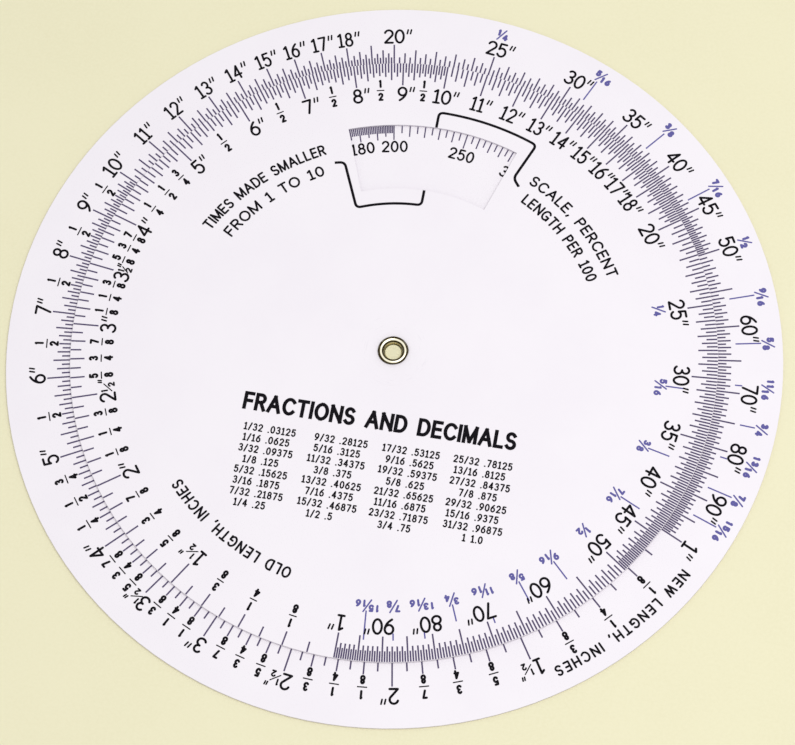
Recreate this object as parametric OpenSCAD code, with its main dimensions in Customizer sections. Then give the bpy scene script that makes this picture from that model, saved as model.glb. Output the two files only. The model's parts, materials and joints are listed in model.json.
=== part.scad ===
// Circular slide rule for enlarging and reducing: a printed dial turns on a larger printed base disc,
// and one brass eyelet holds the two sheets together and is the pivot.
// Millimetres. The pivot is the Z axis, the printed faces look along +Z, and +Y runs from the pivot
// through the pointer of the dial's window. Bearings are degrees clockwise from +Y.

/* [Sheets] */
// Diameter of the turning dial
dial_d = 127; // [110:0.2:180]
// Width of the base disc that shows round the dial
rim_w = 12.7; // [10:0.1:25]
// Thickness of the base disc
base_t = 0.5; // [0.3:0.05:1.5]
// Thickness of the dial
dial_t = 0.5; // [0.3:0.05:1.5]
// Air gap between the two sheets
sheet_gap = 0.1; // [0.05:0.01:0.3]
// Chamfer along the die-cut edges
edge_chamfer = 0.06; // [0.02:0.01:0.12]

/* [Eyelet] */
// Diameter of the hole through the eyelet
eyelet_bore_d = 3.7; // [2:0.1:8]
// Thickness of the eyelet's sheet metal
eyelet_wall = 0.25; // [0.15:0.05:0.4]
// Outer radius of the curl at each end of the eyelet
curl_r = 0.6; // [0.45:0.05:1.2]
// Radial clearance between the eyelet's barrel and the sheets
pivot_clearance = 0.05; // [0.02:0.01:0.1]
// Clearance between the dial's face and the eyelet's front curl
curl_gap = 0.08; // [0.05:0.01:0.2]

/* [Window] */
// Distance from the dial's edge to the window's outer edge
window_drop = 14; // [12:0.1:20]
// Height of the window along a radius
window_h = 14.2; // [8:0.1:20]
// Width of the window between its outer corners
window_outer_w = 34.4; // [26:0.2:44]
// Width of the window between its inner corners
window_inner_w = 25; // [16:0.2:34]
// Distance from the pointer to the middle of the window's outer edge, to the right
window_shift = -0.25; // [-1:0.05:1]
// How far the window's inner edge lies to the right of its outer edge
window_lean = 0.3; // [-1:0.05:1]

/* [Printed scales] */
// Percentage that the window's pointer reads at rest
rest_percent = 227.2; // [20:0.1:900]
// Thickness of the printed ink
ink_t = 0.02; // [0.01:0.005:0.04]
// Width of an inch mark
mark_w = 0.31; // [0.1:0.01:0.35]
// Length of the shortest inch mark
short_mark = 2.1; // [1:0.05:3]
// Length of an inch mark under a stacked fraction
label_mark = 2.8; // [1.5:0.05:4]
// Length of a half-step inch mark
half_mark = 3.05; // [1.5:0.05:4]
// Length of a tall inch mark
tall_mark = 3.8; // [2:0.05:4.5]
// Length of a numbered inch mark
long_mark = 5; // [3:0.05:5.2]
// Length of base marks that the dial's edge or the window's edge covers
mark_hidden = 0.45; // [0.1:0.05:0.6]
// Width of a mark in the window
window_mark_w = 0.26; // [0.1:0.01:0.3]
// Length of the shortest mark in the window
window_short_mark = 1.6; // [1:0.05:2.2]
// Length of a middle mark in the window
window_half_mark = 2.35; // [1.5:0.05:3]
// Length of a numbered mark in the window
window_long_mark = 3.1; // [2:0.05:4]

/* [Printed lines] */
// Width of a fraction's leader line
leader_w = 0.28; // [0.1:0.01:0.4]
// Distance from the dial's edge to the near end of a leader on the base disc
base_leader_near = 3.5; // [2:0.1:5]
// Length of a leader on the base disc
base_leader_len = 5; // [2:0.1:5.5]
// Distance from the dial's edge to the near end of a leader on the dial
dial_leader_near = 5.1; // [5:0.1:7]
// Length of a leader on the dial
dial_leader_len = 4.4; // [2:0.1:6]
// Length of a leader that a numeral cuts short
leader_stub = 1.4; // [0.5:0.1:2]
// Space between a long mark and the leader that follows it
leader_gap = 1; // [0.2:0.1:2]
// How far to the right the dial's blue print lies from its true place
blue_shift_x = -0.4; // [-0.6:0.05:0.6]
// How far towards the window the dial's blue print lies from its true place
blue_shift_y = 0.5; // [-0.6:0.05:0.6]
// Width of the line that runs from the window to its caption
bracket_w = 0.54; // [0.2:0.02:0.7]
// Distance from the window's outer edge to the arc of the upper line
upper_lift = 3.45; // [1.5:0.05:4]
// Distance from the window's inner edge to the arc of the lower line
lower_lift = 3.35; // [1.5:0.05:4]
// Angle between the window's outer corner and the radial leg of a line
bracket_lead = 2.8; // [2:0.1:6]
// Radius of the line's rounded corners
bracket_corner = 1; // [0.3:0.1:1.4]
// Length of the line's tail towards its caption
bracket_tail = 1.95; // [1:0.05:3]
// Distance from the middle of the window's height out to the start of the upper line's tail
upper_tail_rise = 1.9; // [0:0.1:2.5]
// How far the upper line's tail slopes towards the pivot
upper_tail_drop = 1; // [0:0.1:1.5]
// How far the lower line's tail slopes away from the pivot
lower_tail_lift = 0.4; // [0:0.1:1.5]

/* [Hidden] */
$fn = 180;

sheet_colour = "#f5f1f7";
brass_colour = "#c9a95c";
black_ink = "#2b2930";
blue_ink = "#6864a8";

dial_r = dial_d / 2;
base_r = dial_r + rim_w;

// Heights of the faces, from the eyelet's back curl up
base_z = curl_r;
base_top = base_z + base_t;
dial_z = base_top + sheet_gap;
dial_top = dial_z + dial_t;
front_curl_z = dial_top + curl_gap;

bore_r = eyelet_bore_d / 2;
barrel_r = bore_r + eyelet_wall;
sheet_hole_r = barrel_r + pivot_clearance;

window_out_r = dial_r - window_drop;
window_in_r = window_out_r - window_h;
window_mid_r = (window_in_r + window_out_r) / 2;

// Half a turn holds one decade of every scale
decade = 180;

// The base disc is turned by this much, so that the pointer reads the percentage at rest
base_turn = decade * log(rest_percent / 100);

// Rows of the inch scale: first inch, last inch, step, and the steps from one long mark,
// labelled mark, tall mark and half-step mark to the next, with 0 where the row has none
inch_rows = [
    [1, 4, 1 / 16, 8, 2, 0, 0],
    [4, 5, 1 / 16, 16, 4, 0, 2],
    [5, 10, 1 / 16, 16, 8, 4, 2],
    [10, 20, 1 / 8, 8, 0, 4, 2],
    [20, 50, 1 / 4, 20, 0, 4, 2],
    [50, 100, 1 / 2, 10, 0, 0, 2]
];

// Rows of the window's scales: first value, last value, step, and the steps from one long mark
// and half mark to the next
percent_rows = [
    [10, 50, 1 / 2, 10, 2],
    [50, 200, 1, 10, 5],
    [200, 500, 5, 10, 2],
    [500, 1000, 10, 10, 5]
];
reduction_rows = [
    [1, 5, 1 / 10, 10, 5],
    [5, 10, 1 / 5, 5, 0]
];

// Sixteenths of the whole scale that have a leader line, and those that have a stub beside a numeral
whole_leaders = [5, 6, 7, 9, 10, 15];
base_leaders = concat(whole_leaders, [14]);
base_stubs = [11, 13];
dial_leaders = whole_leaders;
dial_stubs = [11, 13, 14, 15];

// Sixteenths whose leader follows a long mark
short_leaders = [12];

function inch_bearing(inches) = 180 + decade * log(inches);
function percent_bearing(percent) = decade * log(percent / 100);
function reduction_bearing(times) = -decade * log(times);
function sixteenth_bearing(k) = inch_bearing(100 * k / 16);

function steps(row) = round((row[1] - row[0]) / row[2]);
function value(row, i) = row[0] + i * row[2];
function falls_on(i, every) = every > 0 && i % every == 0;

function inch_mark(row, i) =
    falls_on(i, row[3]) ? long_mark :
    falls_on(i, row[4]) ? label_mark :
    falls_on(i, row[5]) ? tall_mark :
    falls_on(i, row[6]) ? half_mark : short_mark;

function window_mark(row, i) =
    falls_on(i, row[3]) ? window_long_mark :
    falls_on(i, row[4]) ? window_half_mark : window_short_mark;

// Outlines of printed lines
function polar(r, bearing) = [r * sin(bearing), r * cos(bearing)];
function arc_points(r, from, to, n) = [for (i = [0:n]) polar(r, from + (to - from) * i / n)];
function bend(start, corner, end, n) = [
    for (i = [0:n])
        let (t = i / n)
            (1 - t) * (1 - t) * start + 2 * t * (1 - t) * corner + t * t * end
];
function heading(path, i) =
    let (along = path[min(i + 1, len(path) - 1)] - path[max(i - 1, 0)])
        along / norm(along);
function shifted(path, d) = [
    for (i = [0:len(path) - 1])
        let (h = heading(path, i))
            path[i] + d * [-h[1], h[0]]
];
function backwards(points) = [for (i = [len(points) - 1:-1:0]) points[i]];

module stroke(path, w)
    linear_extrude(ink_t)
        polygon(concat(shifted(path, w / 2), backwards(shifted(path, -w / 2))));

// A radial mark that starts at radius r and runs outwards
module mark(bearing, r, length, w)
    rotate(-bearing)
        translate([-w / 2, r, 0])
            cube([w, length, ink_t]);

// A die-cut sheet with the pivot hole in its middle
module sheet(r, t)
    rotate_extrude()
        polygon([
            [sheet_hole_r, 0], [r - edge_chamfer, 0], [r, edge_chamfer],
            [r, t - edge_chamfer], [r - edge_chamfer, t], [sheet_hole_r, t]
        ]);

// The window: a stretch of a ring between two straight sides that meet its corners
module window_cut() {
    function corner(side, w, middle, r) =
        let (x = side * w / 2 + middle)
            [x, sqrt(r * r - x * x)];
    function side_line(side) =
        let (
            outer = corner(side, window_outer_w, window_shift, window_out_r),
            inner = corner(side, window_inner_w, window_shift + window_lean, window_in_r),
            slope = (outer - inner) / (outer[1] - inner[1])
        )
            [outer + slope * window_h, inner - slope * window_h / 2];
    translate([0, 0, -dial_t])
        intersection() {
            difference() {
                cylinder(r = window_out_r, h = 3 * dial_t);
                cylinder(r = window_in_r, h = 3 * dial_t);
            }
            linear_extrude(3 * dial_t)
                polygon(concat(side_line(1), backwards(side_line(-1))));
        }
}

// One curl of the eyelet: half a ring of sheet metal, rolled outwards from the barrel
module curl_profile()
    translate([bore_r + curl_r, 0])
        intersection() {
            difference() {
                circle(curl_r);
                circle(curl_r - eyelet_wall);
            }
            translate([-curl_r, 0])
                square([2 * curl_r, curl_r]);
        }

// A line from the window's pointer: along the radius, round an arc, back along a leg to end_r and off
// to the caption at tail_r. The turn is 1 where it runs clockwise and -1 where it runs the other way.
module window_line(start_r, arc_r, end_r, tail_r, turn) {
    window_corner = asin((window_outer_w / 2 + turn * window_shift) / window_out_r);
    leg = turn * (window_corner + bracket_lead);
    toward_end = sign(end_r - arc_r) * bracket_corner;
    toward_start = sign(start_r - arc_r) * bracket_corner;
    arc_corner = turn * bracket_corner / arc_r * 180 / PI;
    tail = turn * bracket_tail / end_r * 180 / PI;
    tail_start = polar(end_r, leg);
    tail_end = polar(tail_r, leg + tail);
    tail_corner = tail_start + bracket_corner * (tail_end - tail_start) / norm(tail_end - tail_start);
    stroke(
        concat(
            [polar(start_r, 0)],
            bend(polar(arc_r + toward_start, 0), polar(arc_r, 0), polar(arc_r, arc_corner), 6),
            arc_points(arc_r, 2 * arc_corner, leg - 2 * arc_corner, 16),
            bend(polar(arc_r, leg - arc_corner), polar(arc_r, leg), polar(arc_r + toward_end, leg), 6),
            bend(polar(end_r - toward_end, leg), tail_start, tail_corner, 6),
            [tail_end]
        ),
        bracket_w
    );
}

module base_disc()
    color(sheet_colour)
        translate([0, 0, base_z])
            sheet(base_r, base_t);

module dial_disc()
    color(sheet_colour)
        translate([0, 0, dial_z])
            difference() {
                sheet(dial_r, dial_t);
                window_cut();
            }

module eyelet()
    color(brass_colour)
        rotate_extrude() {
            translate([bore_r, base_z])
                square([eyelet_wall, front_curl_z - base_z]);
            translate([0, front_curl_z])
                curl_profile();
            translate([0, base_z])
                mirror([0, 1])
                    curl_profile();
        }

// Inch scale of the base disc, outwards from the dial's edge
module base_inch_scale()
    color(black_ink)
        translate([0, 0, base_top])
            rotate(base_turn)
                for (row = inch_rows, i = [0:steps(row) - 1])
                    mark(inch_bearing(value(row, i)), dial_r - mark_hidden, inch_mark(row, i), mark_w);

// Inch scale of the dial, inwards from its edge
module dial_inch_scale()
    color(black_ink)
        translate([0, 0, dial_top])
            for (row = inch_rows, i = [0:steps(row) - 1])
                mark(
                    inch_bearing(value(row, i)),
                    dial_r - edge_chamfer - inch_mark(row, i),
                    inch_mark(row, i),
                    mark_w
                );

// Percentage scale that shows along the window's outer edge
module base_percent_scale()
    color(black_ink)
        translate([0, 0, base_top])
            rotate(base_turn)
                for (row = percent_rows, i = [0:steps(row) - 1])
                    mark(
                        percent_bearing(value(row, i)),
                        window_out_r - window_mark(row, i),
                        window_mark(row, i) + mark_hidden,
                        window_mark_w
                    );

// Scale of times smaller, which shows along the window's inner edge below 100 percent
module base_reduction_scale()
    color(black_ink)
        translate([0, 0, base_top])
            rotate(base_turn)
                for (row = reduction_rows, i = [0:steps(row) - 1])
                    mark(
                        reduction_bearing(value(row, i)),
                        window_in_r - mark_hidden,
                        window_mark(row, i) + mark_hidden,
                        window_mark_w
                    );

module base_fraction_leaders() {
    near_r = dial_r + base_leader_near;
    far_r = near_r + base_leader_len;
    past_long_mark = dial_r - mark_hidden + long_mark + leader_gap;
    color(blue_ink)
        translate([0, 0, base_top])
            rotate(base_turn) {
                for (k = base_leaders)
                    mark(sixteenth_bearing(k), near_r, base_leader_len, leader_w);
                for (k = base_stubs)
                    mark(sixteenth_bearing(k), near_r, leader_stub, leader_w);
                for (k = short_leaders)
                    mark(sixteenth_bearing(k), past_long_mark, far_r - past_long_mark, leader_w);
            }
}

module dial_fraction_leaders() {
    near_r = dial_r - dial_leader_near;
    far_r = near_r - dial_leader_len;
    past_long_mark = dial_r - edge_chamfer - long_mark - leader_gap;
    color(blue_ink)
        translate([blue_shift_x, blue_shift_y, dial_top]) {
            for (k = dial_leaders)
                mark(sixteenth_bearing(k), far_r, dial_leader_len, leader_w);
            for (k = dial_stubs)
                mark(sixteenth_bearing(k), near_r, leader_stub, leader_w);
            for (k = short_leaders)
                mark(sixteenth_bearing(k), far_r, past_long_mark - far_r, leader_w);
        }
}

// Lines from the window's pointers to the captions on each side
module dial_window_lines() {
    upper_arc_r = window_out_r + upper_lift;
    upper_end_r = window_mid_r + upper_tail_rise;
    lower_arc_r = window_in_r - lower_lift;
    lower_end_r = window_mid_r;
    color(black_ink)
        translate([0, 0, dial_top]) {
            window_line(window_out_r, upper_arc_r, upper_end_r, upper_end_r - upper_tail_drop, 1);
            window_line(window_in_r, lower_arc_r, lower_end_r, lower_end_r + lower_tail_lift, -1);
        }
}

base_disc();
dial_disc();
eyelet();
base_inch_scale();
base_percent_scale();
base_reduction_scale();
base_fraction_leaders();
dial_inch_scale();
dial_fraction_leaders();
dial_window_lines();
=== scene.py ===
# Looks of the circular slide rule: two printed white sheets that turn on a brass eyelet.
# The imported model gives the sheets, the scale marks and the leader lines. This script adds their finishes,
# the printed numerals, fractions and captions, and a finer eyelet. Sizes are in millimetres, bearings are
# degrees clockwise from +Y, and meshes are written in metres.
import json
import math
from collections import namedtuple

import bmesh
import bpy
from mathutils import Matrix, Vector
from mathutils.geometry import delaunay_2d_cdt


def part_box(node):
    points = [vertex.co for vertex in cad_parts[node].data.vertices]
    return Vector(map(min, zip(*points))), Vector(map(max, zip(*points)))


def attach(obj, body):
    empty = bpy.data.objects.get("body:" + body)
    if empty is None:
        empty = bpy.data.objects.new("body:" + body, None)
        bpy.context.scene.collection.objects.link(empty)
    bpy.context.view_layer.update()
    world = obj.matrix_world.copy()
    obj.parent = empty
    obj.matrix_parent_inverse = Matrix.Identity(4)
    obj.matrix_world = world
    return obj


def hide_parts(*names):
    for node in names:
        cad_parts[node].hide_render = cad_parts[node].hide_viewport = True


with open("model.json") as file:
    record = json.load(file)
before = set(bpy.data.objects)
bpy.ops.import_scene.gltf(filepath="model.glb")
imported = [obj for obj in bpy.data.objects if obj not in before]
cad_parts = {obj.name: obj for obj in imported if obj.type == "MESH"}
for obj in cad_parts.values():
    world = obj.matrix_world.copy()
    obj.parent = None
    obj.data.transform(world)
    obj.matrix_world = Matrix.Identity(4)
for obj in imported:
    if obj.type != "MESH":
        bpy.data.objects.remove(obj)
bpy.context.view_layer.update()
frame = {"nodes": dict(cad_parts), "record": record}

MM = 0.001

# Sizes that the frame gives
DIAL_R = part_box("dial_disc")[1].x / MM
FACES = {"base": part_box("base_disc")[1].z / MM, "dial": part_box("dial_disc")[1].z / MM}
BASE_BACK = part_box("base_disc")[0].z / MM
EYELET_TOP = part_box("eyelet")[1].z / MM
EYELET_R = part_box("eyelet")[1].x / MM
BORE_R = frame["record"]["mounts"][0]["dims"]["r_mm"]

# Scales: half a turn holds one decade, and the window's pointer reads this percentage at rest
DECADE = 180
REST_PERCENT = 227.2
BASE_TURN = DECADE * math.log10(REST_PERCENT / 100)

# Heights of the films of ink. They differ a little, so that no two films share a top face.
BLACK_FILM = 0.024
FRACTION_FILM = 0.022
BLUE_FILM = 0.018

# Lettering: height of the ink, width of the pen, space between signs, and how much wider than usual they
# are. Captions and the heading have no space of their own, because they are spaced out to fill a length.
Lettering = namedtuple("Lettering", "height pen gap stretch")
INCH_NUMERAL = Lettering(3.32, 0.46, 0.12, 1)
TEEN_NUMERAL = Lettering(3.32, 0.44, 0.18, 0.8)
INCH_MARK = Lettering(3.32, 0.34, 0, 1.12)
HALF_INCH_MARK = Lettering(2.35, 0.31, 0, 1)
HALF_DIGIT = Lettering(1.4, 0.34, 0.1, 1.05)
STACK_DIGIT = Lettering(1.86, 0.45, 0.05, 0.8)
BASE_SLANT_DIGIT = Lettering(1.5, 0.5, 0.4, 1.05)
DIAL_SLANT_DIGIT = Lettering(1.5, 0.42, 0.4, 1.05)
WINDOW_NUMERAL = Lettering(2.6, 0.4, 0.22, 0.96)
CAPTION = Lettering(2.4, 0.41, 0, 1)
RIM_CAPTION = Lettering(2.2, 0.4, 0, 0.97)
HEADING = Lettering(3.75, 0.72, 0, 0.88)
TABLE_SIGN = Lettering(1.6, 0.29, 0.17, 0.85)

# Fractions with a leaning stroke: how far the numerator is raised, the spaces before and after the stroke's
# middle, how far the stroke leans to each side, how far its ends stop short of the digits', and its pen
Slant = namedtuple("Slant", "rise before after lean short pen")
HALF_SLANT = Slant(1.45, 0.42, 0.06, 0.85, 0.72, 0.22)
TIGHT_HALF_SLANT = Slant(1.45, 0.15, -0.35, 0.5, 0.72, 0.22)
WHOLE_SLANT = Slant(0.88, 0.28, 0.28, 0.7, 0, 0.3)

# Space between an inch numeral and its inch mark, the narrow numerals, and the low ones that lie to the left
# of their places on the scale
INCH_MARK_GAP = 0.33
TEENS = range(11, 20)
LOW_NUMERALS = (2, 3, 4)
LOW_NUMERAL_SHIFT = -0.33

# Inch numerals with a small half: the whole number, how the half's stroke leans, and the places of the
# number's left edge, of the middle of the stroke and of the inch mark, to the right of the scale's mark
Half = namedtuple("Half", "whole slant numeral_x half_x mark_x")
BASE_HALVES = [
    Half(1, HALF_SLANT, -1.75, 1.2, 2.24),
    Half(2, HALF_SLANT, -2.05, 1.15, 2.14),
    Half(3, HALF_SLANT, -2.2, 0.7, 1.85),
]
DIAL_HALVES = [
    Half(1, HALF_SLANT, -1.48, 1.25, 2.44),
    Half(2, HALF_SLANT, -2.02, 1.06, 2.12),
    Half(3, TIGHT_HALF_SLANT, -1.88, 0.73, 0.95),
]

# Stacked fractions: places of the bar and the numerator over the foot, and the bar's pen
STACK_BAR_Y = 2.37
STACK_BAR_PEN = 0.24
STACK_NUMERATOR_Y = 2.96

# Inch scale on each sheet: the body that carries it, how far it is turned back, its numerals with a half,
# how far the feet of its numerals, stacked fractions and blue fractions lie from the dial's edge, the width
# of the stacked fractions' bars, the lettering of the blue fractions, the place of their strokes beside
# their leaders, and how far all of the blue print lies from its true place
InchScale = namedtuple(
    "InchScale",
    "body turn halves numeral_foot stack_foot slant_foot bar_w slant_digit slant_shift blue_shift",
)
BASE_INCHES = InchScale(
    body="base",
    turn=BASE_TURN,
    halves=BASE_HALVES,
    numeral_foot=4.8,
    stack_foot=2.46,
    slant_foot=8.68,
    bar_w=1.72,
    slant_digit=BASE_SLANT_DIGIT,
    slant_shift=0.12,
    blue_shift=(0, 0),
)
DIAL_INCHES = InchScale(
    body="dial",
    turn=0,
    halves=DIAL_HALVES,
    numeral_foot=-8.68,
    stack_foot=-8.52,
    slant_foot=-11.65,
    bar_w=1.36,
    slant_digit=DIAL_SLANT_DIGIT,
    slant_shift=-0.12,
    blue_shift=(-0.4, 0.5),
)

# Radii of the feet of the numerals in the window, and how far they lie to the right of their marks
PERCENT_FOOT_R = 43.6
REDUCTION_FOOT_R = 38.9
WINDOW_NUMERAL_SHIFT = 0.16

# Heading on the dial, and the table under it: the foot of its first row, the distance between rows, its rows
# and columns, its left edge, the width of a column and of the fractions in it, and the space after them
HEADING_FOOT_Y = -16.75
HEADING_W = 53.9
TABLE_TOP_Y = -20.95
TABLE_PITCH = 2.24
TABLE_ROWS = 8
TABLE_COLUMNS = 4
TABLE_LEFT = -27.2
TABLE_COLUMN_W = 14.2
TABLE_FRACTION_W = 5.1
TABLE_SPACE = 1
TABLE_PARTS = TABLE_ROWS * TABLE_COLUMNS

# Colours, linear
SHEET_WHITE = (0.914, 0.874, 0.909, 1)
SHEET_SHADE = (0.897, 0.854, 0.895, 1)
# Darker colour painted on the sheets' upright edges as shade; the scuffs also take a share of it
SHEET_EDGE_SHADE_AND_SCUFF = (0.620, 0.580, 0.640, 1)
BLACK = (0.006, 0.005, 0.007, 1)
BLACK_THIN = (0.020, 0.017, 0.025, 1)
MARK_DARK = (0.095, 0.076, 0.150, 1)
MARK_PALE = (0.160, 0.132, 0.230, 1)
BLUE = (0.125, 0.115, 0.345, 1)
BLUE_THIN = (0.180, 0.170, 0.420, 1)
BRASS_BRIGHT = (0.990, 0.935, 0.720, 1)
BRASS_WORN = (0.940, 0.830, 0.560, 1)
BRASS_BORE = (0.970, 0.900, 0.700, 1)
# Tarnish on the eyelet's curls, which is also painted shade and dark reflection there
BRASS_TARNISH_AND_PAINTED_SHADE = (0.034, 0.023, 0.003, 1)
CREAM = (0.861, 0.821, 0.569, 1)
CREAM_SHADE = (0.839, 0.799, 0.546, 1)

# Ranges of noise over which an effect comes in: shaded clouds on the sheets, scuffs, thin spots in the ink,
# worn spots and clouds of tarnish and painted shade on the brass, and the card's mottling
SHEET_CLOUDS = (0.35, 0.7)
SCUFFS = (0.58, 0.74)
THIN_SPOTS = (0.5, 0.78)
WORN_SPOTS = (0.5, 0.75)
TARNISH_AND_SHADE_CLOUDS = (0.2, 0.55)
CARD_MOTTLE = (0.1, 0.45)

# Range of the grain's noise, and the roughness at its two ends
NOISE_RANGE = (0.3, 0.7)
SHEET_ROUGHNESS = (0.46, 0.58)
INK_ROUGHNESS = (0.62, 0.78)
BRASS_ROUGHNESS = (0.16, 0.26)
CARD_ROUGHNESS = (0.7, 0.85)

# Strength of the gloss
SHEET_GLOSS = 0.35
INK_GLOSS = 0.04
BRASS_GLOSS = 0.08

# Where the sheets are rubbed: inside and outside the dial's edge on the base disc, and beside the eyelet on
# the dial. Scuffs there show a share of the edge's colour and take a little off the roughness.
RUB_INSIDE_EDGE = 6
RUB_OUTSIDE_EDGE = 2
RUB_BESIDE_EYELET = 6
SCUFF_COLOUR_SHARE = 0.25
SCUFF_POLISH = 0.08

# Polished band on the eyelet's curl, set off the pivot to follow where the bright reflection falls, so a
# painted
# highlight as well as wear: radius of its middle, half its width, how far it lies off the pivot, and half
# the width of its soft edges
BAND_R = 2.4
BAND_HALF_W = 0.17
BAND_OFF = (0.05, -0.17)
BAND_FADE = 0.04

# Tarnish beside the band, which also stands in as painted shade and dark reflection on the curl's flanks:
# its least and its full share, how metallic it still is, and the roughness that it adds
TARNISH_AND_SHADE_SHARE = (0.8, 1)
TARNISH_AND_SHADE_METALLIC = 0.9
TARNISH_AND_SHADE_ROUGHNESS = 0.25

# Plain brass in the bore: the heights between which it gives way to tarnish and painted shade, and the
# distances outside the bore's radius between which it does
BORE_BRIGHT_Z = 1.6
BORE_DARK_Z = 1.9
BORE_WALL_NEAR = 0.01
BORE_WALL_FAR = 0.05

# Card that the object lies on. It gives way under the eyelet's back curl and swells into its hole.
CARD_R = 4000
CARD_GAP = 0.02
CARD_TOP = BASE_BACK - CARD_GAP
CARD_SWELL = 0.5
CARD_DENT_MARGIN = 0.05
CARD_DENT_INNER_R = BORE_R - CARD_DENT_MARGIN
CARD_DENT_OUTER_R = EYELET_R + CARD_DENT_MARGIN
CARD_DENT_SLOPE = 0.25
CARD_SEGMENTS = 96
CARD_JOIN = 0.0001

# Light, in metres and watts. The sky shows white, and lights the object with a part of that.
LAMP_SIZE = 0.4
LAMP_PLACE = (0.17, -0.03, 0.5)
LAMP_POWER = 1.06
SKY = (0.98, 0.98, 1.0, 1)
SKY_STRENGTH = 0.717

# Camera: where it stands as seen from the object and how far it leans, in degrees, its distance and aim, its
# lens and sensor, and how near and how far it sees, in metres
CAMERA_AZIMUTH = 14.316
CAMERA_ELEVATION = 67.693
CAMERA_ROLL = -4.531
CAMERA_DISTANCE = 610.16
CAMERA_AIM = (1.582, -4.103, 1.1)
CAMERA_LENS = 141.27
SENSOR_W = 36
CLIP_START = 0.01
CLIP_END = 20


# Pen strokes of the lettering: degrees between the points of a bow, and steps of a curve and of a round end

ARC_STEP = 15
SWING_STEPS = 7
CAP_STEPS = 5


def bow(cx, cy, rx, ry, start, end, step=ARC_STEP):
    """Points along an ellipse, from one angle to another, in degrees."""
    count = max(2, math.ceil(abs(end - start) / step))
    angles = [math.radians(start + (end - start) * i / count) for i in range(count + 1)]
    return [(cx + rx * math.cos(a), cy + ry * math.sin(a)) for a in angles]


def swing(start, pull, end):
    """Points along a curve that leaves start towards pull and arrives at end."""
    points = []
    for i in range(SWING_STEPS + 1):
        t = i / SWING_STEPS
        weights = ((1 - t) ** 2, 2 * t * (1 - t), t * t)
        points.append(tuple(
            sum(w * p[axis] for w, p in zip(weights, (start, pull, end))) for axis in (0, 1)
        ))
    return points


def turned_over(strokes, width):
    """The strokes turned by half a turn in a box of that width and a height of 1."""
    return [[(width - x, 1 - y) for x, y in stroke] for stroke in strokes]


def two_bows(cx, cy, rx, ry, start, end):
    """A bow in two strokes that meet at its middle, so that neither comes round to itself."""
    middle = (start + end) / 2
    return [bow(cx, cy, rx, ry, start, middle), bow(cx, cy, rx, ry, middle, end)]


def round_loop(cx, cy, rx, ry):
    """A closed ellipse in two strokes."""
    return two_bows(cx, cy, rx, ry, -90, 270)


SIX = round_loop(0.28, 0.31, 0.28, 0.31) + [swing((0.46, 1), (0.02, 0.72), (0, 0.31))]
STEM = [(0, 0), (0, 1)]
P_BOWL = [(0, 1), (0.3, 1)] + bow(0.3, 0.74, 0.26, 0.26, 75, -75) + [(0.3, 0.48), (0, 0.48)]

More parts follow.
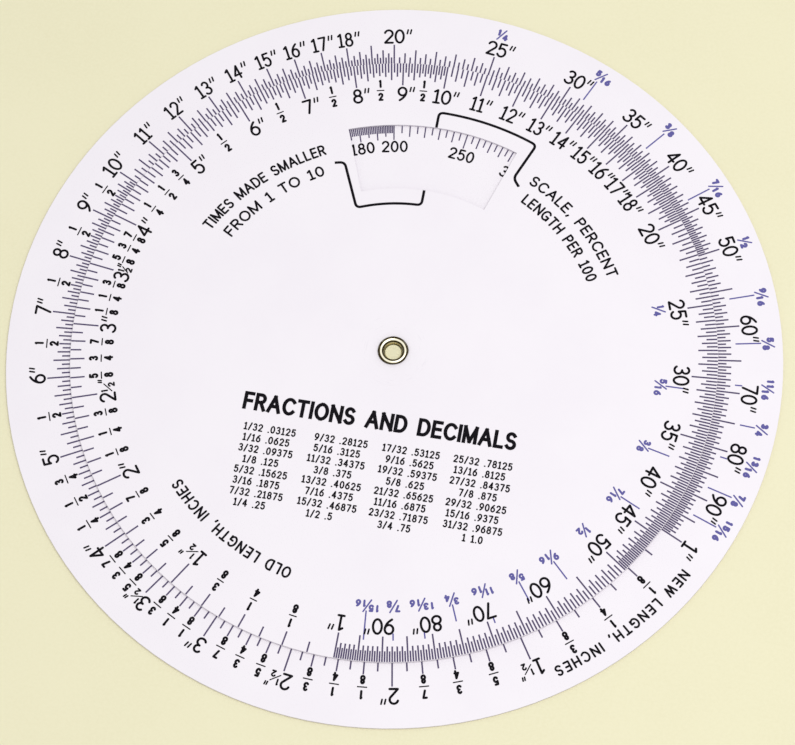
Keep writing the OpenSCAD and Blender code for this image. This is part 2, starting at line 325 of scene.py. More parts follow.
# Each sign: its width and its strokes, for a height of 1 between the centre lines of top and foot
SIGNS = {
    "0": (0.58, round_loop(0.29, 0.5, 0.29, 0.5)),
    "1": (0.36, [[(0.2, 1), (0.2, 0)], [(0.2, 1), (0, 0.86)], [(0, 0), (0.4, 0)]]),
    "i": (0.1, [[(0.1, 1), (0.1, 0)], [(0.1, 1), (0, 0.9)]]),
    "2": (0.56, [
        bow(0.275, 0.725, 0.275, 0.275, 165, -35) + [(0.02, 0.01)],
        [(0.02, 0), (0.56, 0)],
    ]),
    "3": (0.54, two_bows(0.26, 0.76, 0.235, 0.24, 150, -90) + two_bows(0.26, 0.26, 0.28, 0.26, 90, -150)),
    "4": (0.6, [[(0.43, 1), (0, 0.29)], [(0, 0.29), (0.6, 0.29)], [(0.43, 1), (0.43, 0)]]),
    "5": (0.55, [
        [(0.09, 1), (0.5, 1)],
        [(0.09, 1), (0.05, 0.55)],
        *two_bows(0.265, 0.33, 0.285, 0.33, 138, -150),
    ]),
    "6": (0.56, SIX),
    "7": (0.54, [[(0, 1), (0.54, 1)], [(0.54, 1), (0.2, 0)]]),
    "8": (0.56, round_loop(0.28, 0.765, 0.225, 0.235) + round_loop(0.28, 0.265, 0.28, 0.265)),
    "9": (0.56, turned_over(SIX, 0.56)),
    "A": (0.76, [[(0, 0), (0.38, 1)], [(0.38, 1), (0.76, 0)], [(0.14, 0.34), (0.62, 0.34)]]),
    "C": (0.72, [bow(0.4, 0.5, 0.4, 0.5, 42, 318)]),
    "D": (0.68, [STEM, [(0, 1), (0.28, 1)] + bow(0.28, 0.5, 0.4, 0.5, 75, -75) + [(0.28, 0), (0, 0)]]),
    "E": (0.52, [STEM, [(0, 1), (0.52, 1)], [(0, 0.52), (0.47, 0.52)], [(0, 0), (0.52, 0)]]),
    "F": (0.5, [STEM, [(0, 1), (0.5, 1)], [(0, 0.5), (0.44, 0.5)]]),
    "G": (0.76, [
        bow(0.4, 0.5, 0.4, 0.5, 42, 330),
        [(0.44, 0.44), (0.76, 0.44)],
        [(0.76, 0.44), (0.76, 0.06)],
    ]),
    "H": (0.66, [STEM, [(0.66, 0), (0.66, 1)], [(0, 0.52), (0.66, 0.52)]]),
    "I": (0, [STEM]),
    "L": (0.48, [STEM, [(0, 0), (0.48, 0)]]),
    "M": (0.82, [STEM, [(0, 1), (0.41, 0.04)], [(0.41, 0.04), (0.82, 1)], [(0.82, 1), (0.82, 0)]]),
    "N": (0.68, [STEM, [(0, 1), (0.68, 0)], [(0.68, 0), (0.68, 1)]]),
    "O": (0.8, round_loop(0.4, 0.5, 0.4, 0.5)),
    "P": (0.56, [STEM, P_BOWL]),
    "R": (0.58, [STEM, P_BOWL, [(0.3, 0.48), (0.58, 0)]]),
    "S": (0.58, [bow(0.29, 0.75, 0.26, 0.25, 30, 270) + bow(0.29, 0.25, 0.29, 0.25, 75, -150)]),
    "T": (0.62, [[(0, 1), (0.62, 1)], [(0.31, 1), (0.31, 0)]]),
    "W": (1.02, [
        [(0, 1), (0.25, 0)],
        [(0.25, 0), (0.51, 1)],
        [(0.51, 1), (0.77, 0)],
        [(0.77, 0), (1.02, 1)],
    ]),
    ",": (0.1, [[(0.08, 0.06), (0, -0.14)]]),
    ".": (0.04, [[(0, 0), (0.04, 0)]]),
    "/": (0.4, [[(0, -0.05), (0.4, 1.05)]]),
    '"': (0.26, [[(0.06, 1), (0, 0.7)], [(0.26, 1), (0.2, 0.7)]]),
    " ": (0.34, []),
}


def drawn(sign, style):
    """The strokes of a sign, with its ink's left edge and foot at 0, and the width of its ink."""
    width, strokes = SIGNS[sign]
    rise = style.height - style.pen
    run = rise * style.stretch
    edge = style.pen / 2
    moved = [[(edge + x * run, edge + y * rise) for x, y in stroke] for stroke in strokes]
    return [(stroke, style.pen) for stroke in moved], width * run + style.pen


def shifted(strokes, x, y):
    """The strokes moved to the right by x and up by y."""
    return [([(px + x, py + y) for px, py in path], pen) for path, pen in strokes]


def row_of(text, style):
    """The strokes of a row of signs that starts at 0, and its width."""
    strokes = []
    x = 0
    for sign in text:
        sign_strokes, width = drawn(sign, style)
        strokes += shifted(sign_strokes, x, 0)
        x += width + style.gap
    return strokes, x - style.gap


def slanted_fraction(numerator, denominator, style, slant):
    """A fraction with a leaning stroke between its digits, which crosses x = 0 at its middle."""
    top, top_w = row_of(numerator, style)
    low = row_of(denominator, style)[0]
    slash = [(-slant.lean, slant.short), (slant.lean, slant.rise + style.height - slant.short)]
    digits_placed = shifted(top, -slant.before - top_w, slant.rise) + shifted(low, slant.after, 0)
    return digits_placed + [(slash, slant.pen)]


def stacked_fraction(numerator, denominator, bar_w):
    """A fraction with a level bar, centred on x = 0 with its foot at 0."""
    top, top_w = row_of(numerator, STACK_DIGIT)
    low, low_w = row_of(denominator, STACK_DIGIT)
    bar = [(-bar_w / 2, STACK_BAR_Y), (bar_w / 2, STACK_BAR_Y)]
    digits_placed = shifted(top, -top_w / 2, STACK_NUMERATOR_Y) + shifted(low, -low_w / 2, 0)
    return digits_placed + [(bar, STACK_BAR_PEN)]


def inch_numeral(whole):
    """A whole number of inches, centred on x = 0 or a little to its left, and followed by an inch mark."""
    strokes, width = row_of(str(whole), TEEN_NUMERAL if whole in TEENS else INCH_NUMERAL)
    mark = drawn('"', INCH_MARK)[0]
    middle_x = LOW_NUMERAL_SHIFT if whole in LOW_NUMERALS else 0
    return shifted(strokes + shifted(mark, width + INCH_MARK_GAP, 0), middle_x - width / 2, 0)


def inch_numeral_with_half(half):
    """A whole number of inches with a small half and an inch mark, placed from the scale's mark at x = 0."""
    whole = row_of(str(half.whole), INCH_NUMERAL)[0]
    small_half = slanted_fraction("i", "2", HALF_DIGIT, half.slant)
    mark = drawn('"', HALF_INCH_MARK)[0]
    mark_y = INCH_NUMERAL.height - HALF_INCH_MARK.height
    parts = ((whole, half.numeral_x, 0), (small_half, half.half_x, 0), (mark, half.mark_x, mark_y))
    return [stroke for strokes, x, y in parts for stroke in shifted(strokes, x, y)]


def set_at(strokes, bearing, foot_r):
    """The strokes on the face, at that bearing, with their foot at that radius and their tops outwards."""
    sine = math.sin(math.radians(bearing))
    cosine = math.cos(math.radians(bearing))

    def place(x, y):
        r = foot_r + y
        return x * cosine + r * sine, r * cosine - x * sine

    return [([place(x, y) for x, y in path], pen) for path, pen in strokes]


def filling_gap(text, style, length):
    """The space between signs at which a row of them fills a length."""
    return (length - sum(drawn(sign, style)[1] for sign in text)) / (len(text) - 1)


def caption_along_arc(text, style, mid_r, start, end):
    """A caption whose signs are spaced out to fill an arc between two bearings, one item for each sign."""
    gap = filling_gap(text, style, math.radians(end - start) * mid_r)
    items = []
    x = 0
    for sign in text:
        strokes, width = drawn(sign, style)
        bearing = start + math.degrees((x + width / 2) / mid_r)
        items.append(set_at(shifted(strokes, -width / 2, 0), bearing, mid_r - style.height / 2))
        x += width + gap
    return [item for item in items if item]


# Films of ink

# How far the inner side of a tight bend reaches towards the bend's centre, and how far a square end reaches
# past its point, as a share of half the pen. A square end stops a little short, so that no two edges of
# crossing strokes coincide.
INNER_SHARE = 0.85
SQUARE_REACH = 0.98

# Three points whose doubled area is smaller than this lie in a line, and points closer than this are one
STRAIGHT_AREA = 1e-9
SAME_POINT = 1e-5

# Kind of triangulation that covers only what lies inside an outline
INSIDE_ONLY = 1


def bend_radius(before, point, after):
    """Radius of the circle through three points."""
    doubled_area = abs((before - point).cross(after - point))
    if doubled_area < STRAIGHT_AREA:
        return math.inf
    return (before - point).length * (after - point).length * (after - before).length / (2 * doubled_area)


def ribbon(path, pen, square_ends):
    """The outline of one pen stroke with round or square ends, anticlockwise. In a bend that is tighter than
    the pen, its inner side stops short of the bend's centre."""
    half = pen / 2
    points = [Vector(p) for p in path]
    last = len(points) - 1
    right = []
    left = []
    for i, point in enumerate(points):
        before = points[max(i - 1, 0)]
        after = points[min(i + 1, last)]
        along = (after - before).normalized()
        across = Vector((along.y, -along.x))
        turn = (point - before).cross(after - point)
        inner = min(half, INNER_SHARE * bend_radius(before, point, after))
        right.append(point + across * (inner if turn < 0 else half))
        left.append(point - across * (inner if turn > 0 else half))

    def end_cap(centre, start):
        arm = start - centre
        if square_ends:
            forward = Vector((-arm.y, arm.x)) * SQUARE_REACH
            return [start + forward, centre - arm + forward]
        turns = [math.pi * k / CAP_STEPS for k in range(1, CAP_STEPS)]
        return [centre + Matrix.Rotation(a, 2) @ arm for a in turns]

    far_end = end_cap(points[-1], right[-1])
    near_end = end_cap(points[0], left[0])
    return right + far_end + left[::-1] + near_end


def merged(outlines):
    """Triangles that cover a set of overlapping outlines once."""
    points = []
    faces = []
    for outline in outlines:
        faces.append(list(range(len(points), len(points) + len(outline))))
        points += outline
    verts, _, tris, _, _, sources = delaunay_2d_cdt(points, [], faces, INSIDE_ONLY, SAME_POINT)
    return verts, [tri for tri, source in zip(tris, sources) if source]


def add_film(mesh, outlines, foot_z, film):
    """Adds a closed film of ink with upright sides."""
    verts, tris = merged(outlines)
    low = [mesh.verts.new((v.x * MM, v.y * MM, foot_z * MM)) for v in verts]
    high = [mesh.verts.new((v.x * MM, v.y * MM, (foot_z + film) * MM)) for v in verts]
    directed = set()
    for tri in tris:
        mesh.faces.new([high[i] for i in tri])
        mesh.faces.new([low[i] for i in reversed(tri)])
        directed.update(zip(tri, tri[1:] + tri[:1]))
    for a, b in directed:
        if (b, a) not in directed:
            mesh.faces.new((low[a], low[b], high[b], high[a]))


def new_object(name, mesh, material, smooth=False):
    """An object in the scene from a bmesh, with one material."""
    data = bpy.data.meshes.new(name)
    mesh.to_mesh(data)
    mesh.free()
    for polygon in data.polygons:
        polygon.use_smooth = smooth
    data.materials.append(material)
    made = bpy.data.objects.new(name, data)
    bpy.context.scene.collection.objects.link(made)
    return made


def new_piece(name, mesh, body, material, smooth=False):
    """A piece of the object from a bmesh, riding on a body."""
    piece = new_object(name, mesh, material, smooth)
    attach(piece, body)
    return piece


def print_ink(name, body, items, film, material, square_ends=False):
    """Prints items, each a list of strokes, on the face of the base disc or the dial."""
    mesh = bmesh.new()
    for strokes in items:
        add_film(mesh, [ribbon(path, pen, square_ends) for path, pen in strokes], FACES[body], film)
    loose = [v for v in mesh.verts if not v.link_faces]
    bmesh.ops.delete(mesh, geom=loose, context="VERTS")
    new_piece(name, mesh, body, material)


# Finishes

# Sockets of a Mix node that mixes colours
MIX_SHARE = 0
MIX_FIRST = 6
MIX_SECOND = 7
MIX_RESULT = 2


def add_node(tree, kind, inputs=None, **settings):
    """Adds a node, with its settings and with values or links for its inputs."""
    made = tree.nodes.new(kind)
    for name, value in settings.items():
        setattr(made, name, value)
    for name, value in (inputs or {}).items():
        if isinstance(value, bpy.types.NodeSocket):
            tree.links.new(value, made.inputs[name])
        else:
            made.inputs[name].default_value = value
    return made


def maths(tree, operation, a, b=0.0):
    """One step of arithmetic on one or two values."""
    return add_node(tree, "ShaderNodeMath", {0: a, 1: b}, operation=operation).outputs[0]


def fade(tree, value, start, end, low=0.0, high=1.0):
    """A value carried smoothly from one range to another."""
    inputs = {"Value": value, "From Min": start, "From Max": end, "To Min": low, "To Max": high}
    return add_node(tree, "ShaderNodeMapRange", inputs, interpolation_type="SMOOTHSTEP").outputs[0]


def blend_colours(tree, share, first, second):
    """A colour that goes from the first to the second as a share goes from 0 to 1."""
    inputs = {MIX_SHARE: share, MIX_FIRST: first, MIX_SECOND: second}
    return add_node(tree, "ShaderNodeMix", inputs, data_type="RGBA").outputs[MIX_RESULT]


def add_noise(tree, place, scale, detail, roughness):
    """Noise at a place, from 0 to 1."""
    inputs = {"Vector": place, "Scale": scale, "Detail": detail, "Roughness": roughness}
    return add_node(tree, "ShaderNodeTexNoise", inputs).outputs[0]


def vector_maths(tree, operation, inputs):
    """One step of arithmetic on vectors, as its outputs."""
    return add_node(tree, "ShaderNodeVectorMath", inputs, operation=operation).outputs


def new_group(name, inputs, outputs):
    """An empty shader node group, with its own input and output nodes."""
    group = bpy.data.node_groups.new(name, "ShaderNodeTree")
    for label, value in inputs.items():
        socket = group.interface.new_socket(name=label, in_out="INPUT", socket_type="NodeSocketFloat")
        socket.default_value = value
    for label in outputs:
        group.interface.new_socket(name=label, in_out="OUTPUT", socket_type="NodeSocketFloat")
    return group, group.nodes.new("NodeGroupInput"), group.nodes.new("NodeGroupOutput")


def place_in_mm(tree):
    """The place on the object in millimetres."""
    place = add_node(tree, "ShaderNodeTexCoord").outputs["Object"]
    return vector_maths(tree, "SCALE", {0: place, "Scale": 1 / MM})["Vector"]


def make_pivot_place():
    """Distance from an upright axis near the pivot, and height, in millimetres."""
    group, given, result = new_group("Place by the pivot", {"Axis X": 0, "Axis Y": 0}, ["Radius", "Height"])
    parts = add_node(group, "ShaderNodeSeparateXYZ", {0: place_in_mm(group)}).outputs
    x = maths(group, "SUBTRACT", parts["X"], given.outputs["Axis X"])
    y = maths(group, "SUBTRACT", parts["Y"], given.outputs["Axis Y"])
    flat = add_node(group, "ShaderNodeCombineXYZ", {0: x, 1: y}).outputs[0]
    radius = vector_maths(group, "LENGTH", {0: flat})["Value"]
    group.links.new(radius, result.inputs["Radius"])
    group.links.new(parts["Z"], result.inputs["Height"])
    return group


def make_fine_grain():
    """Fine pebbled grain of rolled sheet, and broad clouds over it."""
    inputs = {"Grains per mm": 4, "Clouds per mm": 0.05}
    group, given, result = new_group("Fine grain", inputs, ["Grain", "Clouds"])
    for count, detail, label in (("Grains per mm", 2.0, "Grain"), ("Clouds per mm", 4.0, "Clouds")):
        noise = add_noise(group, place_in_mm(group), given.outputs[count], detail, roughness=0.6)
        group.links.new(noise, result.inputs[label])
    return group


def make_turning_scuffs():
    """Hairline scuffs that run round the pivot."""
    group, given, result = new_group("Turning scuffs", {"Lines per mm": 6, "Length": 3}, ["Scuff"])
    flat = vector_maths(group, "MULTIPLY", {0: place_in_mm(group), 1: (1, 1, 0)})["Vector"]
    radius = vector_maths(group, "LENGTH", {0: flat})["Value"]
    heading = vector_maths(group, "NORMALIZE", {0: flat})["Vector"]
    spread = vector_maths(group, "SCALE", {0: heading, "Scale": given.outputs["Length"]})["Vector"]
    parts = add_node(group, "ShaderNodeSeparateXYZ", {0: spread}).outputs
    rings = maths(group, "MULTIPLY", radius, given.outputs["Lines per mm"])
    ring_place = add_node(group, "ShaderNodeCombineXYZ", {0: parts["X"], 1: parts["Y"], 2: rings}).outputs[0]
    noise = add_noise(group, ring_place, scale=1.0, detail=3.0, roughness=0.5)
    group.links.new(fade(group, noise, *SCUFFS), result.inputs["Scuff"])
    return group


def make_ink_film():
    """Thin spots and the slightly lumpy top of screened ink."""
    group, given, result = new_group("Ink film", {"Specks per mm": 7}, ["Thin spots", "Lumps"])
    specks = given.outputs["Specks per mm"]
    noise = add_noise(group, place_in_mm(group), specks, detail=3.0, roughness=0.65)
    group.links.new(fade(group, noise, *THIN_SPOTS), result.inputs["Thin spots"])
    group.links.new(noise, result.inputs["Lumps"])
    return group


PIVOT_PLACE = make_pivot_place()
FINE_GRAIN = make_fine_grain()
TURNING_SCUFFS = make_turning_scuffs()
INK_FILM = make_ink_film()


def use_group(tree, group, **values):
    """Places a node group in a material, with its own values."""
    made = add_node(tree, "ShaderNodeGroup", node_tree=group)
    for label, value in values.items():
        made.inputs[label.replace("_", " ")].default_value = value
    return made.outputs


def start_material(name):
    """A new material with a Principled BSDF, and its node tree."""
    material = bpy.data.materials.new(name)
    material.use_nodes = True
    return material, material.node_tree, material.node_tree.nodes["Principled BSDF"]


def bump(tree, height, strength, depth_mm):
    """A normal that follows a height."""
    inputs = {"Height": height, "Strength": strength, "Distance": depth_mm * MM}
    return add_node(tree, "ShaderNodeBump", inputs).outputs[0]


def upright_share(tree, flat, steep):
    """0 where the surface faces up or down and 1 where it stands upright, by the height of its normal."""
    normal = add_node(tree, "ShaderNodeNewGeometry").outputs["Normal"]
    parts = add_node(tree, "ShaderNodeSeparateXYZ", {0: normal}).outputs
    return fade(tree, maths(tree, "ABSOLUTE", parts["Z"]), flat, steep)


def make_sheet(name, rub_near, rub_far):
    """Matte white plastic sheet, scuffed between two distances from the pivot, with painted shade on its
    upright edges.
    """
    material, tree, shader = start_material(name)
    grain = use_group(tree, FINE_GRAIN, Grains_per_mm=5, Clouds_per_mm=0.045)
    scuff = use_group(tree, TURNING_SCUFFS, Lines_per_mm=5, Length=2.5)["Scuff"]
    radius = use_group(tree, PIVOT_PLACE)["Radius"]
    rub_mid = (rub_near + rub_far) / 2
    offset = maths(tree, "ABSOLUTE", maths(tree, "SUBTRACT", radius, rub_mid))
    rubbed = fade(tree, offset, (rub_far - rub_near) / 2, 0)
    scuffed = maths(tree, "MULTIPLY", scuff, rubbed)
    clouds = fade(tree, grain["Clouds"], *SHEET_CLOUDS)
    white = blend_colours(tree, clouds, SHEET_WHITE, SHEET_SHADE)
    scuff_share = maths(tree, "MULTIPLY", scuffed, SCUFF_COLOUR_SHARE)
    rubbed_white = blend_colours(tree, scuff_share, white, SHEET_EDGE_SHADE_AND_SCUFF)
    # The sheet's upright cut sides get the darker edge colour: painted shade
    edge = upright_share(tree, flat=0.8, steep=0.3)
    tree.links.new(blend_colours(tree, edge, rubbed_white, SHEET_EDGE_SHADE_AND_SCUFF), shader.inputs["Base Color"])
    rough = fade(tree, grain["Grain"], *NOISE_RANGE, *SHEET_ROUGHNESS)
    polish = maths(tree, "MULTIPLY", scuffed, SCUFF_POLISH)
    tree.links.new(maths(tree, "SUBTRACT", rough, polish), shader.inputs["Roughness"])
    tree.links.new(bump(tree, grain["Grain"], strength=0.12, depth_mm=0.02), shader.inputs["Normal"])
    shader.inputs["Specular IOR Level"].default_value = SHEET_GLOSS
    return material


def make_ink(name, thick, thin, specks):
    """Screened ink, thinner in spots."""
    material, tree, shader = start_material(name)
    film = use_group(tree, INK_FILM, Specks_per_mm=specks)
    tree.links.new(blend_colours(tree, film["Thin spots"], thick, thin), shader.inputs["Base Color"])
    tree.links.new(fade(tree, film["Lumps"], *NOISE_RANGE, *INK_ROUGHNESS), shader.inputs["Roughness"])
    tree.links.new(bump(tree, film["Lumps"], strength=0.15, depth_mm=0.01), shader.inputs["Normal"])
    shader.inputs["Specular IOR Level"].default_value = INK_GLOSS
    return material


def make_brass(name):
    """Rolled brass: polished in a band on the curls, tarnished beside it with painted shade and dark
    reflection, and plain deep in the bore.
    """
    material, tree, shader = start_material(name)
    grain = use_group(tree, FINE_GRAIN, Grains_per_mm=9, Clouds_per_mm=0.8)
    scuff = use_group(tree, TURNING_SCUFFS, Lines_per_mm=22, Length=4)["Scuff"]
    pivot = use_group(tree, PIVOT_PLACE)
    # The band's circle is set off the pivot to follow the bright reflection: a painted highlight
    band = use_group(tree, PIVOT_PLACE, Axis_X=BAND_OFF[0], Axis_Y=BAND_OFF[1])["Radius"]
    worn = maths(tree, "MAXIMUM", scuff, fade(tree, grain["Clouds"], *WORN_SPOTS))
    polished = blend_colours(tree, worn, BRASS_BRIGHT, BRASS_WORN)
    on_wall = fade(tree, pivot["Radius"], BORE_R + BORE_WALL_FAR, BORE_R + BORE_WALL_NEAR)
    bore = maths(tree, "MULTIPLY", on_wall, fade(tree, pivot["Height"], BORE_DARK_Z, BORE_BRIGHT_Z))
    bright = blend_colours(tree, bore, polished, BRASS_BORE)
    off_band = maths(tree, "ABSOLUTE", maths(tree, "SUBTRACT", band, BAND_R))
    beside = fade(tree, off_band, BAND_HALF_W - BAND_FADE, BAND_HALF_W + BAND_FADE)
    flank = maths(tree, "MULTIPLY", beside, maths(tree, "SUBTRACT", 1, bore))
    # Dark tarnish beside the band and on the upper bore, which also stands in as painted shade and dark
    # reflection
    tarnish_and_painted_shade = maths(tree, "MULTIPLY", flank, fade(tree, grain["Clouds"], *TARNISH_AND_SHADE_CLOUDS, *TARNISH_AND_SHADE_SHARE))
    tree.links.new(blend_colours(tree, tarnish_and_painted_shade, bright, BRASS_TARNISH_AND_PAINTED_SHADE), shader.inputs["Base Color"])
    tree.links.new(fade(tree, tarnish_and_painted_shade, 0, 1, 1, TARNISH_AND_SHADE_METALLIC), shader.inputs["Metallic"])
    rough = fade(tree, grain["Grain"], *NOISE_RANGE, *BRASS_ROUGHNESS)
    dulled = maths(tree, "MULTIPLY", tarnish_and_painted_shade, TARNISH_AND_SHADE_ROUGHNESS)
    tree.links.new(maths(tree, "ADD", rough, dulled), shader.inputs["Roughness"])
    relief = maths(tree, "ADD", grain["Grain"], scuff)
    tree.links.new(bump(tree, relief, strength=0.1, depth_mm=0.01), shader.inputs["Normal"])
    shader.inputs["Specular IOR Level"].default_value = BRASS_GLOSS
    return material


def make_card(name):
    """Plain cream card that the object lies on."""
    material, tree, shader = start_material(name)
    grain = use_group(tree, FINE_GRAIN, Grains_per_mm=1.6, Clouds_per_mm=0.03)
    mottle = fade(tree, maths(tree, "MULTIPLY", grain["Grain"], grain["Clouds"]), *CARD_MOTTLE)
    tree.links.new(blend_colours(tree, mottle, CREAM, CREAM_SHADE), shader.inputs["Base Color"])
    tree.links.new(fade(tree, grain["Grain"], *NOISE_RANGE, *CARD_ROUGHNESS), shader.inputs["Roughness"])
    tree.links.new(bump(tree, grain["Grain"], strength=0.1, depth_mm=0.05), shader.inputs["Normal"])
    return material


BASE_SHEET = make_sheet("base_sheet", DIAL_R - RUB_INSIDE_EDGE, DIAL_R + RUB_OUTSIDE_EDGE)
DIAL_SHEET = make_sheet("dial_sheet", EYELET_R, EYELET_R + RUB_BESIDE_EYELET)
MARK_INK = make_ink("mark_ink", MARK_DARK, MARK_PALE, specks=6)
BLACK_INK = make_ink("black_ink", BLACK, BLACK_THIN, specks=8)
BLUE_INK = make_ink("blue_ink", BLUE, BLUE_THIN, specks=8)
BRASS = make_brass("eyelet_brass")

CAD_FINISHES = {
    "base_disc": BASE_SHEET,
    "dial_disc": DIAL_SHEET,
    "base_inch_scale": MARK_INK,
    "base_percent_scale": MARK_INK,
    "base_reduction_scale": MARK_INK,
    "dial_inch_scale": MARK_INK,
    "dial_window_lines": BLACK_INK,
    "base_fraction_leaders": BLUE_INK,
    "dial_fraction_leaders": BLUE_INK,
    "eyelet": BRASS,
}


def finish_cad_nodes():
    """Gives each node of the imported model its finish."""
    for name, material in CAD_FINISHES.items():
        slots = frame["nodes"][name].data.materials
        slots.clear()
        slots.append(material)


# Printed scales, by their bearings on a sheet that isn't turned


def inch_bearing(inches):
    """Bearing of a length. One inch lies opposite the window's pointer."""
    return 180 + DECADE * math.log10(inches)


def percent_bearing(percent):
    """Bearing of a percentage. A hundred lies at the window's pointer."""
    return DECADE * math.log10(percent / 100)


def reduction_bearing(times):
    """Bearing of a number of times smaller, which runs the other way from one."""
    return -DECADE * math.log10(times)


def eighths_between(first, last, step):
    """Fractions of an inch in eighths, between whole inches, as inches, numerator and denominator."""
    found = []
    for count in range(first * 8 + step, last * 8, step):
        part = count % 8
        if part:
            shared = math.gcd(part, 8)
            found.append((count / 8, part // shared, 8 // shared))
    return found


INCH_NUMERALS = [*range(1, 19), *range(20, 50, 5), *range(50, 100, 10)]
STACKED = eighths_between(1, 4, 1) + eighths_between(4, 5, 2) + eighths_between(5, 10, 4)

# Blue fractions: the length that they are parts of, their numbers of sixteenths, and those with no shift
WHOLE_INCHES = 100
SIXTEENTHS = range(4, 16)
UNSHIFTED_SIXTEENTHS = (4, 8)


def digits(number):
    """The digits of a small fraction's number, with a plain one that has no foot."""
    return str(number).replace("1", "i")


def print_inch_scale(scale):
    """Numerals, stacked fractions and blue fractions of the inch scale on one sheet."""
    def place(strokes, inches, foot):
        return set_at(strokes, inch_bearing(inches) - scale.turn, DIAL_R + foot)

    numerals = [place(inch_numeral(n), n, scale.numeral_foot) for n in INCH_NUMERALS]
    half_places = [half.whole + 0.5 for half in scale.halves]
    for half, inches in zip(scale.halves, half_places):
        numerals.append(place(inch_numeral_with_half(half), inches, scale.numeral_foot))
    stacks = []
    for inches, numerator, denominator in STACKED:
        if inches not in half_places:
            strokes = stacked_fraction(digits(numerator), digits(denominator), scale.bar_w)
            stacks.append(place(strokes, inches, scale.stack_foot))
    slants = []
    for part in SIXTEENTHS:
        shared = math.gcd(part, 16)
        numerator = digits(part // shared)
        denominator = digits(16 // shared)
        strokes = slanted_fraction(numerator, denominator, scale.slant_digit, WHOLE_SLANT)
        shift = 0 if part in UNSHIFTED_SIXTEENTHS else scale.slant_shift
        placed = place(shifted(strokes, shift, 0), WHOLE_INCHES * part / 16, scale.slant_foot)
        slants.append(shifted(placed, *scale.blue_shift))
    body = scale.body
    print_ink(body + "_inch_numerals", body, numerals, BLACK_FILM, BLACK_INK)
    print_ink(body + "_inch_fractions", body, stacks, FRACTION_FILM, BLACK_INK)
    print_ink(body + "_whole_fractions", body, slants, BLUE_FILM, BLUE_INK)


PERCENTS = [
    *range(10, 50, 5),
    *range(50, 100, 10),
    *range(100, 200, 20),
    *range(200, 500, 50),
    *range(500, 1000, 100),
]
REDUCTIONS = range(1, 11)


def print_window_numerals():
    """Numerals of the scales that show in the window."""
    for name, numbers, bearing_of, foot_r in (
        ("base_percent_numerals", PERCENTS, percent_bearing, PERCENT_FOOT_R),
        ("base_reduction_numerals", REDUCTIONS, reduction_bearing, REDUCTION_FOOT_R),
    ):
        items = []
        for number in numbers:
            strokes, width = row_of(str(number), WINDOW_NUMERAL)
            left_x = WINDOW_NUMERAL_SHIFT - width / 2
            items.append(set_at(shifted(strokes, left_x, 0), bearing_of(number) - BASE_TURN, foot_r))
        print_ink(name, "base", items, FRACTION_FILM, BLACK_INK)


# Captions on the dial: words, how wide the letters are, radius of the letters' middle, and the bearings
# where the words start and end
FIRST_INCH = inch_bearing(1)
DIAL_CAPTIONS = [
    ("TIMES MADE SMALLER", 0.92, 46.2, -64.0, -27.4),
    ("FROM 1 TO 10", 1.2, 41.9, -62.3, -29.6),
    ("SCALE, PERCENT", 1.12, 46.1, 26.8, 60.4),
    ("LENGTH PER 100", 0.92, 41.95, 28.4, 59.6),
    ("OLD LENGTH, INCHES", 0.86, 49.75, FIRST_INCH + 13, FIRST_INCH + 47.4),
]

# Caption on the base disc, beside its first inch
RIM_WORDS = "NEW LENGTH, INCHES"
RIM_CAPTION_R = 72.3
RIM_CAPTION_START = FIRST_INCH - BASE_TURN + 3.5
RIM_CAPTION_END = FIRST_INCH - BASE_TURN + 29

HEADING_WORDS = "FRACTIONS AND DECIMALS"


def print_captions():
    """Captions round the window and after the first inch of each scale."""
    items = []
    for words, stretch, mid_r, start, end in DIAL_CAPTIONS:
        items += caption_along_arc(words, CAPTION._replace(stretch=stretch), mid_r, start, end)
    print_ink("dial_captions", "dial", items, BLACK_FILM, BLACK_INK)
    items = caption_along_arc(RIM_WORDS, RIM_CAPTION, RIM_CAPTION_R, RIM_CAPTION_START, RIM_CAPTION_END)
    print_ink("base_caption", "base", items, BLACK_FILM, BLACK_INK)


def print_heading():
    """Bold heading over the table."""
    gap = filling_gap(HEADING_WORDS, HEADING, HEADING_W)
    strokes, width = row_of(HEADING_WORDS, HEADING._replace(gap=gap))
    items = [shifted(strokes, -width / 2, HEADING_FOOT_Y)]
    print_ink("dial_heading", "dial", items, BLACK_FILM, BLACK_INK, square_ends=True)


def print_table():
    """Table of inch fractions and their decimals."""
    items = []
    for part in range(1, TABLE_PARTS + 1):
        column, row = divmod(part - 1, TABLE_ROWS)
        shared = math.gcd(part, TABLE_PARTS)
        fraction = f"{part // shared}/{TABLE_PARTS // shared}" if part < TABLE_PARTS else "1"
        decimal = f"{part / TABLE_PARTS:.5f}".rstrip("0").lstrip("0") if part < TABLE_PARTS else "1.0"
        right_x = TABLE_LEFT + column * TABLE_COLUMN_W + TABLE_FRACTION_W
        foot_y = TABLE_TOP_Y - row * TABLE_PITCH
        for words, side, x in ((fraction, 1, right_x), (decimal, 0, right_x + TABLE_SPACE)):
            strokes, width = row_of(words, TABLE_SIGN)
            items.append(shifted(strokes, x - side * width, foot_y))
    print_ink("dial_table", "dial", items, BLACK_FILM, BLACK_INK)


# Eyelet: its metal, its faces round the pivot, the degrees between the points of its curl and of the curl's
# lip, and how flat the lip is
EYELET_WALL = 0.25
EYELET_SEGMENTS = 144
CURL_STEP = 9
LIP_STEP = 36
LIP_SQUASH = 0.4

# Dents in its rim: bearing, half a width in degrees, and depth. The power sets how soon a dent ends.
RIM_DENTS = [(106, 22, 0.09), (168, 60, 0.14)]
DENT_POWER = 2

# Waves of its rim: how many go round, where they start in radians, and each one's share of the depth
WAVE_DEPTH = 0.012
RIM_WAVES = [(3, 0.7, 0.6), (7, 0, 0.4)]


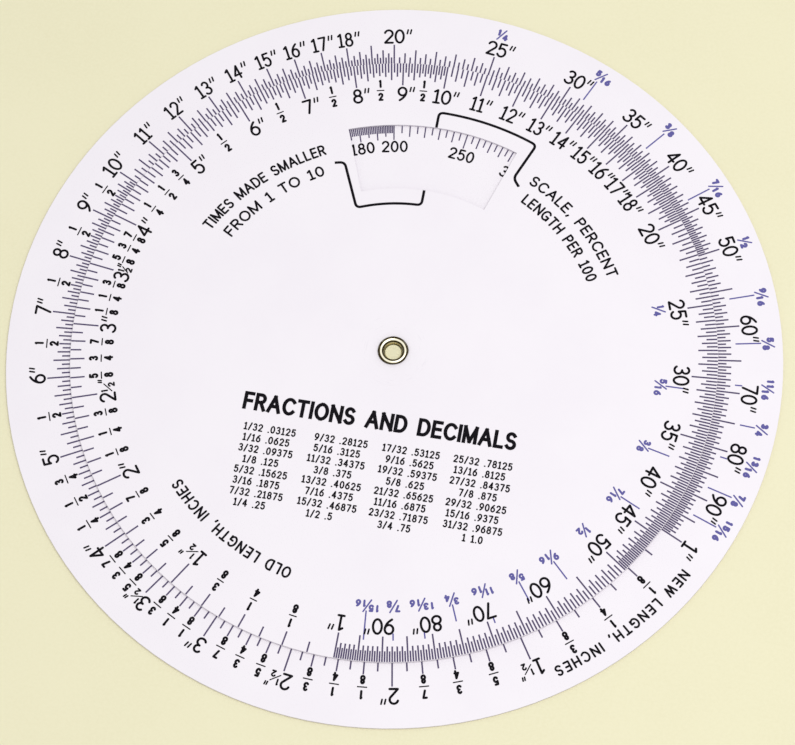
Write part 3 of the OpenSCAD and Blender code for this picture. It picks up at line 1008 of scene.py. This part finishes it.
def eyelet_profile():
    """Closed outline of the eyelet's wall, as radius and height."""
    curl_r = BASE_BACK
    front_z = EYELET_TOP - curl_r
    centre_r = BORE_R + curl_r
    thin_r = curl_r - EYELET_WALL
    lip_r = EYELET_WALL / 2
    lip_centre = centre_r + curl_r - lip_r
    crown = bow(centre_r, front_z, curl_r, curl_r, 180, 0, CURL_STEP)
    lip = bow(lip_centre, front_z, lip_r, lip_r * LIP_SQUASH, 0, -180, LIP_STEP)
    under = bow(centre_r, front_z, thin_r, thin_r, 0, 180, CURL_STEP)
    upper = crown + lip[1:-1] + under
    lower = [(r, EYELET_TOP - z) for r, z in reversed(upper)]
    return upper + lower


def dented(r, bearing):
    """Radius of the curl's rim after the small dents that setting the eyelet leaves."""
    outward = max(0, r - BORE_R - BASE_BACK) / BASE_BACK
    angle = math.radians(bearing)
    waves = [share * math.sin(count * angle + start) for count, start, share in RIM_WAVES]
    depth = WAVE_DEPTH * (1 + sum(waves))
    for dent_bearing, half_w, dent_depth in RIM_DENTS:
        off = abs((bearing - dent_bearing + 180) % 360 - 180) / half_w
        depth += dent_depth * math.exp(-off * off * DENT_POWER)
    return r - outward * depth


def make_eyelet():
    """The eyelet as a fine lathe form with slightly uneven curls."""
    mesh = bmesh.new()
    profile = eyelet_profile()
    rings = []
    for i in range(EYELET_SEGMENTS):
        bearing = 360 * i / EYELET_SEGMENTS
        sine = math.sin(math.radians(bearing))
        cosine = math.cos(math.radians(bearing))
        ring = []
        for r, z in profile:
            uneven_r = dented(r, bearing)
            ring.append(mesh.verts.new((uneven_r * sine * MM, uneven_r * cosine * MM, z * MM)))
        rings.append(ring)
    count = len(profile)
    for i, ring in enumerate(rings):
        after = rings[(i + 1) % EYELET_SEGMENTS]
        for k in range(count):
            following = (k + 1) % count
            mesh.faces.new((ring[k], ring[following], after[following], after[k]))
    bmesh.ops.recalc_face_normals(mesh, faces=mesh.faces)
    piece = new_piece("brass_eyelet", mesh, "base", BRASS, smooth=True)
    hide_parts("eyelet")


# Stage


def make_floor():
    """The card, a level sheet with a ring-shaped dent."""
    profile = [
        (0, CARD_TOP + CARD_SWELL),
        (CARD_DENT_INNER_R - CARD_DENT_SLOPE, CARD_TOP + CARD_SWELL),
        (CARD_DENT_INNER_R, 0),
        (CARD_DENT_OUTER_R, 0),
        (CARD_DENT_OUTER_R + CARD_DENT_SLOPE, CARD_TOP),
        (CARD_R, CARD_TOP),
    ]
    mesh = bmesh.new()
    verts = [mesh.verts.new((r * MM, 0, z * MM)) for r, z in profile]
    edges = [mesh.edges.new(pair) for pair in zip(verts, verts[1:])]
    bmesh.ops.spin(
        mesh,
        geom=verts + edges,
        cent=(0, 0, 0),
        axis=(0, 0, 1),
        angle=math.tau,
        steps=CARD_SEGMENTS,
        use_merge=True,
    )
    bmesh.ops.remove_doubles(mesh, verts=mesh.verts, dist=CARD_JOIN * MM)
    bmesh.ops.recalc_face_normals(mesh, faces=mesh.faces)
    floor = new_object("floor", mesh, make_card("cream_card"))


def make_light():
    """A soft lamp to one side, and a pale room that metal mirrors."""
    lamp = bpy.data.lights.new("soft_lamp", "AREA")
    lamp.shape = "DISK"
    lamp.size = LAMP_SIZE
    lamp.energy = LAMP_POWER
    holder = bpy.data.objects.new("soft_lamp", lamp)
    holder.location = LAMP_PLACE
    holder.rotation_euler = Vector(LAMP_PLACE).to_track_quat("Z", "Y").to_euler()
    bpy.context.scene.collection.objects.link(holder)
    world = bpy.data.worlds.new("pale_room")
    world.use_nodes = True
    tree = world.node_tree
    ray = add_node(tree, "ShaderNodeLightPath").outputs
    mirrored = maths(tree, "MAXIMUM", ray["Is Glossy Ray"], ray["Is Transmission Ray"])
    shown = maths(tree, "MAXIMUM", ray["Is Camera Ray"], mirrored)
    sky = tree.nodes["Background"]
    sky.inputs["Color"].default_value = SKY
    tree.links.new(fade(tree, shown, 0, 1, SKY_STRENGTH, 1), sky.inputs["Strength"])
    bpy.context.scene.world = world


def make_camera():
    """The camera, from the photograph's viewing angle."""
    azimuth = math.radians(CAMERA_AZIMUTH)
    elevation = math.radians(CAMERA_ELEVATION)
    level = math.cos(elevation)
    back = Vector((math.sin(azimuth) * level, -math.cos(azimuth) * level, math.sin(elevation)))
    data = bpy.data.cameras.new("camera")
    data.lens = CAMERA_LENS
    data.sensor_width = SENSOR_W
    data.clip_start = CLIP_START
    data.clip_end = CLIP_END
    camera = bpy.data.objects.new("camera", data)
    turn = (-back).to_track_quat("-Z", "Y").to_matrix().to_4x4()
    roll = Matrix.Rotation(math.radians(CAMERA_ROLL), 4, "Z")
    place = (Vector(CAMERA_AIM) + back * CAMERA_DISTANCE) * MM
    camera.matrix_world = Matrix.Translation(place) @ turn @ roll
    bpy.context.scene.collection.objects.link(camera)
    bpy.context.scene.camera = camera
    bpy.context.scene.view_settings.view_transform = "Standard"


make_camera()
make_light()
make_floor()
finish_cad_nodes()
make_eyelet()
print_inch_scale(BASE_INCHES)
print_inch_scale(DIAL_INCHES)
print_window_numerals()
print_captions()
print_heading()
print_table()
